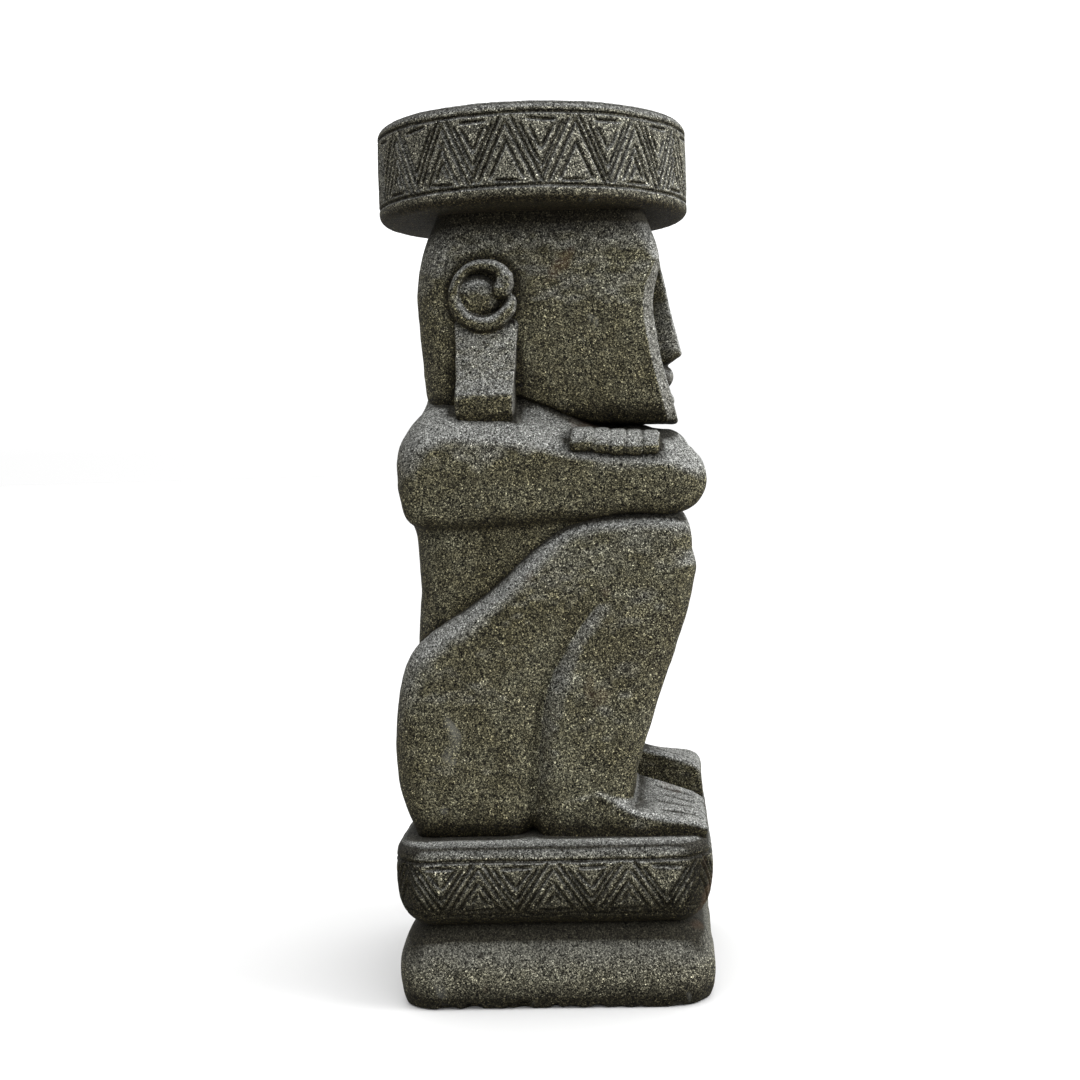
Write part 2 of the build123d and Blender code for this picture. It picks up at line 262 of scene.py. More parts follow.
def new_piece(name, points, faces):
    """A mesh object at the origin from points in metres and its faces."""
    mesh = bpy.data.meshes.new(name)
    mesh.vertices.add(len(points))
    mesh.vertices.foreach_set("co", np.ascontiguousarray(points, dtype=np.float32).ravel())
    sizes = np.array([len(face) for face in faces])
    loops = np.concatenate(faces)
    mesh.loops.add(len(loops))
    mesh.loops.foreach_set("vertex_index", loops.astype(np.int32))
    mesh.polygons.add(len(sizes))
    mesh.polygons.foreach_set("loop_start", (np.cumsum(sizes) - sizes).astype(np.int32))
    mesh.update(calc_edges=True)
    mesh.validate()
    mesh.shade_smooth()
    piece = bpy.data.objects.new(name, mesh)
    bpy.context.scene.collection.objects.link(piece)
    return piece


def mark(piece, name, values):
    """Stores one number for each point of a piece."""
    attribute = piece.data.attributes.new(name, "FLOAT", "POINT")
    attribute.data.foreach_set("value", np.ascontiguousarray(values, dtype=np.float32))


def flip(piece):
    """Turns a right-hand piece into a left-hand one."""
    piece.data.transform(Matrix.Scale(-1, 4, (1, 0, 0)))
    piece.data.flip_normals()


# --- Head, ears and pendants ---------------------------------------------------
HEAD_TOP = 893
HEAD_ROWS = (
    (630, -118, 163, 88),
    (648, -122, 160, 95),
    (662, -127, 156.5, 102),
    (677, -130, 153, 106),
    (696, -133, 148, 109),
    (715, -134, 143.5, 112),
    (746, -135, 137.5, 114),
    (775, -136, 134.5, 115),
    (798, -137, 136, 114),
    (816, -136, 140, 113),
    (830, -134, 142, 112),
    (848, -130, 139.5, 111),
    (868, -124, 133.5, 108),
    (884, -117, 128, 105),
    (896, -112, 124, 103),
)
FACE_OUTLINE = (
    (0, 830),
    (30, 831),
    (64, 829),
    (88, 814),
    (99, 775),
    (97, 730),
    (89, 692),
    (76, 664),
    (36, 658),
    (0, 657),
)
FACE_DEPTH = 13.0
JAW_FORWARD = (-150, -60, -22, 10, 33, 62, 104, 156, 180)
JAW_UP = (662, 676, 680, 668, 657, 649, 646.5, 646, 646)
NOSE_OUTLINE = (
    (110, 850),
    (140, 850),
    (144, 838),
    (149, 815),
    (153, 792),
    (158, 768),
    (163, 745),
    (166.5, 728),
    (150, 717),
    (110, 713),
)
EYE_OUT, EYE_FORWARD, EYE_UP = 50, 121, 784
BROW = (0, 135.5, 838), (66, 6.5, 8)
UPPER_LIP = (0, 138, 702), (36, 18.5, 16)
LOWER_LIP = (0, 142, 674), (33, 15, 12.5)
EAR_FORWARD, EAR_UP, EAR_OUT = -56.5, 796, 121.5
SCROLL_TURNS = (0, 14, 80, 130, 165, 250, 296)
SCROLL_THICKNESS = (6.4, 8.4, 9.6, 8.2, 6.6, 6.4, 8.0)
PENDANT_OUTLINE = (
    (-89, 768),
    (-56, 772),
    (-20, 768),
    (-21, 740),
    (-24, 700),
    (-29, 647),
    (-58, 647),
    (-88, 651),
    (-89.5, 700),
    (-90, 740),
)
PENDANT_UP = (646, 652, 662, 677, 683, 700, 770)
PENDANT_FACE = (125, 130.5, 136.5, 140.8, 140.5, 134, 117.5)


def ear_scroll():
    """The ear's line: once round the ring, then widening and curling in to a bulb."""
    line = [(EAR_FORWARD + 32, EAR_UP - 5, 5.0)]
    for turn in range(0, 296, 5):
        angle = math.radians(-16 - turn)
        thick = float(np.interp(turn, SCROLL_TURNS, SCROLL_THICKNESS))
        line.append((EAR_FORWARD + 32.8 * math.cos(angle), EAR_UP + 33.4 * math.sin(angle), thick))
    for forward, up, thick in ((25.0, 18, 9.4), (24.0, 10, 10.8), (21.5, 5, 11.4)):
        line.append((EAR_FORWARD + forward, EAR_UP + up, thick))
    return line


def carve_right_ear(name, seed, mirrored):
    """The rolled ear with the long flared pendant below it."""
    carving = Carving((-152, -6, 638), (-84, 114, 848), 1.35)
    pendant = smooth_line(PENDANT_OUTLINE, True, 3)
    middle = (112, EAR_FORWARD - 8, EAR_UP - 2)
    scroll = [(EAR_OUT, f, z, r) for f, z, r in ear_scroll()]

    def strip(x, f, z):
        face = interp(z, PENDANT_UP, PENDANT_FACE)
        crown = 1.6 * ((f + 56) / 34) ** 2
        return eased(eased(outline(f, z, pendant), x - face + crown, 2.2), 88 - x, 2)

    carving.join(strip, 1)
    carving.join(lambda x, f, z: egg(x, f, z, middle, (16, 28, 26)), 1.0)
    carving.join(lambda x, f, z: rod(x, f, z, scroll), 0.8)
    carving.lumps(24, 0.7, seed)
    carving.lumps(8, 0.45, seed + 1)
    carving.lumps(4, 0.2, seed + 2)
    return carving.finish(name, mirrored)


def carve_head():
    """The head: a block with its face sunk behind a sharp rim, and the features in it."""
    carving = Carving((-146, -182, 636), (146, 152, HEAD_TOP + 3), 2.0)
    back, front, half = by_height(HEAD_ROWS)
    face = smooth_line([(-x, z) for x, z in FACE_OUTLINE[:0:-1]] + list(FACE_OUTLINE[:-1]), closed=True)

    def mass(field, x, f, z):
        rounding = np.where(f < 0, 42.0, interp(z, (648, 822, 840, 890), (1, 1, 14, 30)))
        dish = outline(x, z, face)
        sunk = FACE_DEPTH * np.clip(-dish / 6, 0, 1) ** 0.8
        shifted = f + np.where(f > 60, sunk, 0)
        body = upright(x, shifted, half(z), back(z), front(z), rounding.astype(np.float32))
        bevel = interp(z, (640, 800, 826, 842), (12.5, 12, 7, 0))
        body = np.maximum(body, (np.abs(x) - half(z) + f - front(z) + bevel) * math.sqrt(0.5))
        jaw = interp(f, JAW_FORWARD, JAW_UP)
        return eased(eased(body, jaw - z, 5), z - HEAD_TOP, 1)

    def nose_wedge(x, f, z):
        width = interp(z, (715, 735, 790, 845), (23, 22, 12, 9))
        return eased(outline(f, z, np.array(NOSE_OUTLINE)), np.abs(x) - width, 4)

    def lid_line(x, z, eye, bow):
        """How deep a lid's curved line is cut: bow is how far it rises at its middle."""
        across = x - eye[0]
        rise = bow * (1 - (across / 23) ** 2)
        return 1.8 * np.exp(-(((z - EYE_UP - rise) / 1.8) ** 2)) * (np.abs(across) < 24)

    carving.work(mass)
    carving.join(nose_wedge, 2.5, (-60, 90, 690), (60, 190, 870))
    carving.join(lambda x, f, z: egg(x, f, z, *BROW), 5, (-90, 90, 800), (90, 190, 870))
    for side in (-1, 1):
        eye = (side * EYE_OUT, EYE_FORWARD, EYE_UP)
        carving.join(lambda x, f, z: egg(x, f, z, eye, (26, 9, 12.5)), 3, (-95, 90, 750), (95, 190, 830))
        carving.work(
            lambda field, x, f, z: field + lid_line(x, z, eye, 6.5) + lid_line(x, z, eye, -6.0),
            (-95, 100, 750),
            (95, 190, 820),
        )
    carving.join(lambda x, f, z: egg(x, f, z, *UPPER_LIP), 3, (-70, 100, 670), (70, 190, 730))
    carving.join(lambda x, f, z: egg(x, f, z, *LOWER_LIP), 2, (-70, 100, 640), (70, 190, 700))

    carving.lumps(34, 1.1, 11)
    carving.lumps(13, 0.5, 12)
    carving.lumps(6, 0.25, 13)
    return carving.finish("head")


# --- Torso, arms and hands -------------------------------------------------------
TORSO_ROWS = (
    (176, -146, 70, 98),
    (260, -154, 74, 100),
    (340, -155, 76, 104),
    (400, -149, 80, 113),
    (450, -143, 84, 120),
    (490, -143, 85, 124),
    (530, -146, 86, 127),
    (570, -154, 86, 131),
    (610, -159, 82, 133),
    (635, -154, 62, 122),
    (655, -144, 52, 106),
    (674, -134, 30, 99),
    (690, -130, 10, 93),
    (700, -128, 0, 90),
)
ARM_OUTLINE = (
    (-147, 541),
    (-120, 534),
    (-40, 536),
    (40, 541),
    (110, 545),
    (152, 545),
    (172, 552),
    (186, 568),
    (189.5, 586),
    (184, 604),
    (166, 620),
    (140, 629),
    (110, 632),
    (80, 635),
    (37, 645),
    (5, 656),
    (-40, 668),
    (-80, 673),
    (-118, 674),
    (-141, 658),
    (-157, 632),
    (-161, 600),
    (-157, 568),
)
FINGER_EDGES = (38.5, 62.7, 81.6, 99.5, 117.7, 136.7)
FINGER_TIPS = (616, 613, 611, 610, 610.5)
HAND_FORWARD = 87
FOREARM_ROOM = (-125, 40, 530), (125, 200, 660)
UPPER_FOREARM = ((-104, 150, 582, 33), (0, 142, 608, 33), (70, 100, 622, 23))
LOWER_FOREARM = ((104, 150, 582, 33), (0, 155, 580, 31), (-50, 128, 592, 18))
BETWEEN_FOREARMS = ((-80, 52, 628, 21), (0, 74, 628, 22), (80, 52, 628, 21))
FAR_WRIST = ((-60, 56, 628, 21), (-56, 106, 626.5, 22), (-62, 136, 617, 22.5), (-82, 160, 598, 25))


def carve_upper_body():
    """The torso with both arms folded across it, without the fingers."""
    carving = Carving((-160, -196, 176), (160, 170, 700), 2.4)
    back, front, half = by_height(TORSO_ROWS)
    carving.work(lambda field, x, f, z: trim(upright(x, f, half(z), back(z), front(z), 42), 178 - z, 2))
    carving.work(lambda field, x, f, z: eased(field, z - 690, 4))
    arm = smooth_line(ARM_OUTLINE, True, 4)

    def arms(x, f, z):
        front_taper = 6 * np.clip((f - 120) / 70, 0, 1) ** 2
        back_taper = 5 * np.clip(-(f + 100) / 60, 0, 1) ** 2
        bulge = 150 - 7 * ((z - 600) / 60) ** 2 - front_taper - back_taper
        slab = np.maximum(np.abs(x) - bulge, 64 - np.abs(x))
        return eased(outline(f, z, arm), slab, interp(z, (535, 560, 600, 640), (14, 16, 32, 50)))

    carving.join(arms, 10, (-170, -180, 520), (170, 200, 690))
    for limb, soft in ((UPPER_FOREARM, 4), (LOWER_FOREARM, 4), (BETWEEN_FOREARMS, 6), (FAR_WRIST, 4)):
        carving.join(lambda x, f, z: rod(x, f, z, limb), soft, *FOREARM_ROOM)
    for side in (-1, 1):
        carving.join(
            lambda x, f, z: eased(
                eased(np.abs(f - HAND_FORWARD) - 47, np.abs(z - 620) - 18, 10),
                np.abs(side * x - 82) - 40,
                8,
            ),
            5,
            (-170, 20, 590),
            (170, 150, 655),
        )
        carving.work(
            lambda field, x, f, z: trim(field, -egg(side * x, f, z, (152, -58, 666), (24, 46, 19)), 8),
            (-170, -130, 630),
            (170, 20, 700),
        )
    carving.lumps(40, 1.5, 21)
    carving.lumps(15, 0.6, 22)
    carving.lumps(7, 0.25, 23)
    return carving.finish("torso_and_arms")


def carve_right_hand(name, seed, mirrored):
    """Five square fingers lying side by side over the other forearm, their tips bent down its outside."""
    carving = Carving((-166, -148, 592), (-46, -28, 660), 1.35)
    for number, tip in enumerate(FINGER_TIPS):
        start, end = FINGER_EDGES[number : number + 2]
        middle, half = (start + end) / 2, (end - start) / 2
        top = 641.5 - 0.075 * (middle - HAND_FORWARD)
        bend = (
            (54, 0, top - 9, 9),
            (116, 0, top - 9, 9),
            (135, 0, top - 11.5, 9.3),
            (143.5, 0, tip + 14, 9.4),
            (145.5, 0, tip + 9.5, 9.2),
        )
        core = tuple((x, f, z, r - 2.2) for x, f, z, r in bend)

        def finger(x, f, z):
            return eased(rod(x, 0 * f, z, bend), np.abs(f - middle) - half + 0.35, 3.6)

        def web(x, f, z):
            return np.maximum(rod(x, 0 * f, z, core), np.abs(f - middle) - half - 0.5)

        carving.join(finger, 0.6)
        carving.join(web, 0.6)
    carving.lumps(24, 0.8, seed)
    carving.lumps(8, 0.5, seed + 1)
    carving.lumps(4, 0.2, seed + 2)
    return carving.finish(name, mirrored)


# --- Legs and feet ---------------------------------------------------------------
LEG_OUTLINE = (
    (-146, 178),
    (-158, 200),
    (-167, 228),
    (-172, 265),
    (-172, 305),
    (-166, 350),
    (-152, 390),
    (-128, 415),
    (-70, 455),
    (-24, 495),
    (16, 530),
    (60, 546),
    (110, 549),
    (146, 547),
    (161, 541),
    (170, 525),
    (171, 503),
    (175, 487),
    (172, 469),
    (160, 424),
    (142, 370),
    (124, 320),
    (106, 262),
    (98, 225),
    (96, 178),
    (0, 174),
    (-100, 174),
)
CALF_CREASE = ((62, 446), (41, 421), (20, 389), (2, 350), (-7, 306), (-12, 261), (-16, 216), (-20, 176))
FOOT_OUTLINE = (
    (-10, 178),
    (-10, 250),
    (60, 290),
    (120, 290),
    (165, 262),
    (175, 235),
    (179, 212),
    (180, 196),
    (178, 184),
    (168, 179),
    (80, 177),
)
INSTEP_FORWARD = (-10, 60, 85, 97, 133, 166, 175, 182)
INSTEP_UP = (235, 250, 237, 230, 221, 210, 204, 199)
TOE_PITCH = 23.8
FOOT_INNER, FOOT_OUTER = 26, 145


def carve_right_leg(name, seed, mirrored, instep=0):
    """A folded leg with its foot. instep raises the top of the foot."""
    carving = Carving((-152, -192, 172), (-2, 184, 556), 2.2)
    leg = smooth_line(LEG_OUTLINE, True, 3)
    crease = smooth_line(CALF_CREASE, steps=3)

    def limb(field, x, f, z):
        side = outline(f, z, leg)
        gap = np.where(f > 0, interp(z, (180, 420, 550), (27, 15, 9)), 6).astype(np.float32)
        hip = 7 * np.clip((z - 430) / 120, 0, 1) ** 1.5 + 5 * np.clip((250 - z) / 80, 0, 1) ** 1.5
        slab = x - (143 - hip)
        outer = eased(side, slab, interp(z, (180, 300, 420, 540), (30, 34, 30, 22)))
        return eased(outer, gap - x, 14)

    carving.work(limb)
    foot = smooth_line(FOOT_OUTLINE, True, 3)

    def foot_mass(x, f, z):
        side = outline(f, z, foot)
        slab = np.maximum(x - np.interp(f, (0, 90), (138, FOOT_OUTER)), FOOT_INNER - x)
        inner = np.interp(f, INSTEP_FORWARD, INSTEP_UP) + instep
        fall = np.interp(f, (100, 133, 166, 175), (17, 16.5, 10, 8))
        top = inner - fall * np.clip((x - FOOT_INNER) / 119, 0, 1) ** 1.2
        return eased(eased(side, slab, 5), ((z - top) * 0.95).astype(np.float32), 5)

    carving.join(foot_mass, 7, (10, -20, 172), (152, 190, 300))

    def toes(field, x, f, z):
        groove = 0
        for number in range(1, 5):
            across = FOOT_OUTER - number * TOE_PITCH + 0.6 * math.sin(number * 2.3)
            groove = groove + np.clip(1 - np.abs(x - across) / 3.4, 0, 1)
        fade = np.clip((f - 118 - 5 * np.sin(x / 9)) / 10, 0, 1)
        return field + 5.0 * groove * fade

    carving.work(toes, (10, 100, 172), (152, 190, 260))
    line = np.array(crease)

    def calf(field, x, f, z):
        near, share = 1e9, 0
        total = len(line) - 1
        for i in range(total):
            (f0, z0), (f1, z1) = line[i], line[i + 1]
            df, dz = f1 - f0, z1 - z0
            along = np.clip(((f - f0) * df + (z - z0) * dz) / (df * df + dz * dz), 0, 1)
            gap = np.hypot(f - f0 - along * df, z - z0 - along * dz)
            share = np.where(gap < near, (i + along) / total, share)
            near = np.minimum(near, gap)
        depth = 3.0 + 12.0 * np.clip(share * 2.2, 0, 1)
        width = 15.0 + 9.0 * np.clip(share * 2, 0, 1)
        near = np.hypot(near, 2.5) - 2.5
        return field + (depth * np.clip(1 - near / width, 0, 1) ** 1.7 * (x > 90)).astype(np.float32)

    carving.work(calf, (80, -60, 172), (152, 100, 470))
    carving.lumps(42, 1.5, seed)
    carving.lumps(16, 0.6, seed + 1)
    carving.lumps(7, 0.25, seed + 2)
    return carving.finish(name, mirrored)


# --- Ground block ------------------------------------------------------------------
PLINTH_HALF_WIDTH, PLINTH_BACK, PLINTH_FRONT, PLINTH_CORNER = 173, -174, 184, 46
GROUND_ROWS = ((-4, 6), (2, 5), (14, 2), (30, 0), (50, 1), (64, 5), (75, 11), (83, 18), (89, 26), (94, 38))
FRIEZE_ROWS = (
    (85, 40),
    (89, 29),
    (93, 21),
    (98, 14.5),
    (106, 8.5),
    (118, 3.5),
    (134, 0.8),
    (150, 0),
    (165, 0.5),
    (173, 1.5),
    (179, 4),
    (183, 9),
    (185.5, 18),
)
GROUND_BITES = 90


def carve_ground_block():
    """The plain lower block, with bites broken out of its bottom edge."""
    carving = Carving((-180, -190, -3), (180, 182, 95), 2.4)
    (inset,) = by_height(GROUND_ROWS)
    half, back, front = PLINTH_HALF_WIDTH, PLINTH_BACK, PLINTH_FRONT

    def block(field, x, f, z):
        step_in = inset(z)
        return upright(x, f, half - step_in, back + step_in, front - step_in, PLINTH_CORNER)

    carving.work(block)
    carving.lumps(46, 1.6, 31)
    carving.lumps(18, 0.8, 32)
    carving.lumps(7, 0.3, 33)
    rng = np.random.default_rng(5)
    for _ in range(GROUND_BITES):
        side = rng.integers(4)
        along = rng.uniform(-150, 150)
        x, f = ((along, front), (along, back), (half, along + 5), (-half, along + 5))[side]
        size = rng.uniform(5, 16), rng.uniform(5, 16), rng.uniform(3, 7)
        centre = (x * 1.01, f * 1.01, rng.uniform(-3, 4))
        reach = max(size) + 6
        carving.work(
            lambda field, x, f, z: np.maximum(field, -egg(x, f, z, centre, size)),
            tuple(c - reach for c in centre),
            tuple(c + reach for c in centre),
        )
    carving.work(lambda field, x, f, z: np.maximum(np.maximum(field, 0.4 - z), z - 91.5))
    return carving.finish("ground_block")


# --- Turned and banded blocks --------------------------------------------------------
def wrap(name, rings):
    """A closed piece from rings of points, first and last drawn together at their middles."""
    count = len(rings[0])
    points = np.concatenate([rings[0].mean(axis=0)[None], *rings, rings[-1].mean(axis=0)[None]])
    around = np.arange(count)
    after = np.roll(around, -1)
    faces = [np.stack((np.zeros(count, int), 1 + after, 1 + around), axis=1)]
    for row in range(len(rings) - 1):
        low, high = 1 + row * count, 1 + (row + 1) * count
        faces.append(np.stack((low + around, low + after, high + after, high + around), axis=1))
    top = 1 + (len(rings) - 1) * count
    faces.append(np.stack((top + around, top + after, np.full(count, len(points) - 1)), axis=1))
    return new_piece(name, points * MM, [face for group in faces for face in group])


HAT_RADIUS, HAT_BACK, HAT_LOW, HAT_HIGH = 183.3, 5.5, 890, 1000
HAT_LINES = (907, 986)
HAT_REPEATS = 15


def hat_point(along, up, out=0.0):
    """A point on the drum's wall: along it from its right side towards the front, in millimetres."""
    angle = along / HAT_RADIUS
    radius = HAT_RADIUS + out
    return (-radius * math.cos(angle), HAT_BACK - radius * math.sin(angle), up)


def hat_rings(count, pitch):
    """Rings of the drum, from the middle of its underside over the wall to the middle of its top."""
    underside = (12, 40, 70, 95, 110, 122, 134, 146, 156, 163)
    section = [(radius, HAT_LOW + 1.5 - radius / 120) for radius in underside]
    for turn in range(0, 91, 15):
        angle = math.radians(turn)
        section.append((HAT_RADIUS - 12 + 12 * math.sin(angle), HAT_LOW + 11 - 11 * math.cos(angle)))
    rows = int((HAT_HIGH - HAT_LOW - 22) / pitch)
    for row in range(1, rows):
        section.append((HAT_RADIUS, HAT_LOW + 11 + (HAT_HIGH - HAT_LOW - 22) * row / rows))
    for turn in range(0, 91, 15):
        angle = math.radians(turn)
        section.append((HAT_RADIUS - 11 + 11 * math.cos(angle), HAT_HIGH - 11 + 11 * math.sin(angle)))
    section += [(radius, HAT_HIGH) for radius in (160, 146, 126, 104, 80, 54, 28, 10)]
    angles = np.linspace(0, 2 * math.pi, count, endpoint=False)
    rings = []
    for radius, up in section:
        x, y = -radius * np.cos(angles), HAT_BACK - radius * np.sin(angles)
        rings.append(np.stack((x, y, np.full(count, up)), axis=1))
    return rings


def plinth_path(count):
    """Evenly spaced (x, y, outward x, outward y) round the plinth, from its right side's middle forwards."""
    corner = PLINTH_CORNER
    middle = (PLINTH_BACK + PLINTH_FRONT) / 2
    along_side, along_front = (PLINTH_FRONT - PLINTH_BACK) / 2 - corner, PLINTH_HALF_WIDTH - corner
    bend = corner * math.pi / 2
    total = 4 * (along_side + along_front + bend)
    legs = [(along_side, -PLINTH_HALF_WIDTH, -middle, math.pi, False)]
    for side, end, quarter, straight in (
        (-1, -1, 2, along_front),
        (1, -1, 3, along_side),
        (1, 1, 0, along_front),
        (-1, 1, 1, along_side),
    ):
        x, y = side * along_front, end * along_side - middle
        legs.append((bend, x, y, quarter * math.pi / 2, True))
        facing = (quarter + 1) * math.pi / 2
        x, y = x + corner * math.cos(facing), y + corner * math.sin(facing)
        legs.append((2 * straight, x, y, facing, False))
    path = []
    for number in range(count):
        place = (number / count * total + middle) % total
        for length, x, y, facing, bends in legs:
            if place <= length:
                break
            place -= length
        if bends:
            facing += place / corner
        out_x, out_y = math.cos(facing), math.sin(facing)
        away, on = (corner, 0) if bends else (0, place)
        path.append((x + away * out_x - on * out_y, y + away * out_y + on * out_x, out_x, out_y))
    return np.array(path), total


PLINTH_LINES = (104, 166.5)
PLINTH_REPEATS = 16
PLINTH_FINE, PLINTH_ROUND = plinth_path(2000)
FRIEZE_INSET = by_height(FRIEZE_ROWS)[0]


def plinth_point(along, up, out=0.0):
    """A point on the banded block's wall: along it from its right side's middle forwards."""
    place = (along / PLINTH_ROUND) % 1 * len(PLINTH_FINE)
    x, y, nx, ny = PLINTH_FINE[int(place) % len(PLINTH_FINE)]
    away = out - float(FRIEZE_INSET(up))
    return (x + nx * away, y + ny * away, up)


def frieze_rings(count, pitch):
    """Rings of the banded block, from the middle of its underside over the wall to the middle of its top."""
    path, _ = plinth_path(count)
    middle = np.array([0, -(PLINTH_BACK + PLINTH_FRONT) / 2])
    rings = []

    def ring(up, inset, share=1.0):
        flat = middle + (path[:, :2] - path[:, 2:] * inset - middle) * share
        rings.append(np.column_stack((flat, np.full(count, up))))

    for share in (0.1, 0.35, 0.6, 0.8, 0.92):
        ring(87, 34, share)
    for up in np.arange(87, 183.6, pitch):
        ring(up, float(FRIEZE_INSET(up)))
    for inset, up in ((12, 184.2), (16, 184.7), (21, 184.9), (26, 185), (32, 185)):
        ring(up, inset)
    for share in (0.96, 0.9, 0.82, 0.7, 0.5, 0.3, 0.1):
        ring(185, 32, share)
    return rings


# --- Chiselled lines -------------------------------------------------------------------
def zigzag_strokes(pitch, low, high, hand):
    """One repeat of the triangle band as strokes of (along, up) points, cut a little unevenly."""
    tall = high - low
    lean = pitch / 2 / tall

    def wobble(amount=1.0):
        return hand.uniform(-amount, amount)

    def slants(*cuts):
        """Strokes beside the diagonals: where each starts, how far in from the band's two edges its
        ends lie and how much each varies, and +1 if it rises along the band or -1 if it falls."""
        for start, foot, foot_play, head, head_play, side in cuts:
            start += wobble()
            low_end = low + foot + wobble(foot_play)
            high_end = high - head + wobble(head_play)
            strokes.append([(start + side * (end - low) * lean, end) for end in (low_end, high_end)])

    strokes = []
    slants(
        (-4.2, 3, 2, 1.5, 1, 1),
        (4.6, 3, 2, 7, 2, 1),
        (pitch - 4.6, 2, 2, 7, 2, -1),
        (pitch + 4.2, 2, 1, 1, 1, -1),
        (15, 6, 2, 0.36 * tall, 3, 1),
        (pitch - 15, 6, 2, 0.34 * tall, 3, -1),
    )
    slope = wobble(2.0)
    middle = pitch / 2 + wobble(2)
    strokes.append([(middle + end * 0.2 * pitch + wobble(2), low + 6 - end * slope) for end in (-1, 1)])
    if hand.random() < 0.6:
        slants((24, 13, 2, 0.56 * tall, 2, 1), (pitch - 24, 13, 2, 0.56 * tall, 2, -1))
    for side in (1, -1):
        foot = (pitch + wobble(), low + 0.27 * tall + wobble(2))
        strokes.append([foot, (pitch + side * 0.62 * tall * lean, high - 0.11 * tall + wobble())])
    if hand.random() < 0.75:
        for side in (1, -1):
            foot = (pitch + wobble(), low + 0.5 * tall + wobble(2))
            strokes.append([foot, (pitch + side * 0.36 * tall * lean, high - 0.17 * tall)])
    slope = wobble(1.6)
    left = (pitch - 0.2 * pitch + wobble(2), high - 8 - slope)
    right = (pitch + 0.2 * pitch + wobble(2), high - 7 + slope)
    strokes.append([left, right])
    return strokes


def stroke_network(name, wall_point, round_length, repeats, start, lines, seed):
    """The band's strokes as bare edges lying on a wall, lifting off it where a cut fades out."""
    hand = random.Random(seed)
    pitch = round_length / repeats
    low, high = lines
    points, edges = [], []

    def cut(stroke, lift):
        first = len(points)
        (u0, v0), (u1, v1) = stroke
        steps = max(int(math.hypot(u1 - u0, v1 - v0) / 4), 3)
        bow = hand.uniform(-0.7, 0.7)
        for step in range(steps + 1):
            share = step / steps
            ends = max(0, 1 - min(share, 1 - share) * steps / 2.2)
            side = bow * math.sin(math.pi * share)
            away = lift + 1.8 * ends**2
            points.append(wall_point(u0 + (u1 - u0) * share + side, v0 + (v1 - v0) * share, away))
        edges.extend((i, i + 1) for i in range(first, len(points) - 1))

    for number in range(repeats):
        origin = start + number * pitch - pitch / 2
        for stroke in zigzag_strokes(pitch, low, high, hand):
            cut([(origin + u, v) for u, v in stroke], hand.uniform(-0.5, 0.6))
    for line in lines:
        first = len(points)
        steps = int(round_length / 6)
        drift = 0.0
        for step in range(steps):
            drift = 0.9 * drift + hand.uniform(-0.28, 0.28)
            points.append(wall_point(step / steps * round_length, line + drift, hand.uniform(-0.5, 0.3)))
        edges.extend((i, i + 1) for i in range(first, len(points) - 1))
        edges.append((len(points) - 1, first))
    mesh = bpy.data.meshes.new(name)
    mesh.from_pydata([tuple(c * MM for c in p) for p in points], edges, [])
    network = bpy.data.objects.new(name, mesh)
    bpy.context.scene.collection.objects.link(network)
    return network


# --- Node building -----------------------------------------------------------------------
class Wire:
    """A value passing between nodes. Arithmetic on it adds Math nodes."""

    def __init__(self, bench, socket):
        self.bench = bench
        self.socket = socket

    def _math(self, operation, first, second=None, clamp=False):
        sockets = {0: first} if second is None else {0: first, 1: second}
        return self.bench.node("ShaderNodeMath", {"operation": operation, "use_clamp": clamp}, sockets)[0]

    def __add__(self, other):
        return self._math("ADD", self, other)

    __radd__ = __add__

    def __sub__(self, other):
        return self._math("SUBTRACT", self, other)

    def __rsub__(self, other):
        return self._math("SUBTRACT", other, self)

    def __mul__(self, other):
        return self._math("MULTIPLY", self, other)

    __rmul__ = __mul__

    def __truediv__(self, other):
        return self._math("DIVIDE", self, other)

    def __pow__(self, other):
        return self._math("POWER", self, other)

    def held(self):
        """The value kept between 0 and 1."""
        return self._math("ADD", self, 0.0, clamp=True)


class Bench:
    """A node tree being built."""

    def __init__(self, tree):
        self.tree = tree

    def node(self, kind, settings=None, sockets=None):
        """Adds a node, sets it up, fills or links its sockets, and returns its outputs."""
        made = self.tree.nodes.new(kind)
        for name, value in (settings or {}).items():
            if name == "stops":
                self._stops(made.color_ramp, value)
            else:
                setattr(made, name, value)
        for key, value in (sockets or {}).items():
            if isinstance(value, Wire):
                self.tree.links.new(value.socket, made.inputs[key])
            else:
                made.inputs[key].default_value = value
        return [Wire(self, output) for output in made.outputs]

    def _stops(self, ramp, stops):
        while len(ramp.elements) < len(stops):
            ramp.elements.new(0.5)
        for element, (place, colour) in zip(ramp.elements, stops):
            element.position = place
            element.color = colour

    def tint(self, share, first, second, blend="MIX"):
        """One colour laid over another by a share."""
        settings = {"data_type": "RGBA", "blend_type": blend, "clamp_factor": True}
        return self.node("ShaderNodeMix", settings, {0: share, 6: first, 7: second})[2]


def grey(value):
    return (value, value, value, 1.0)


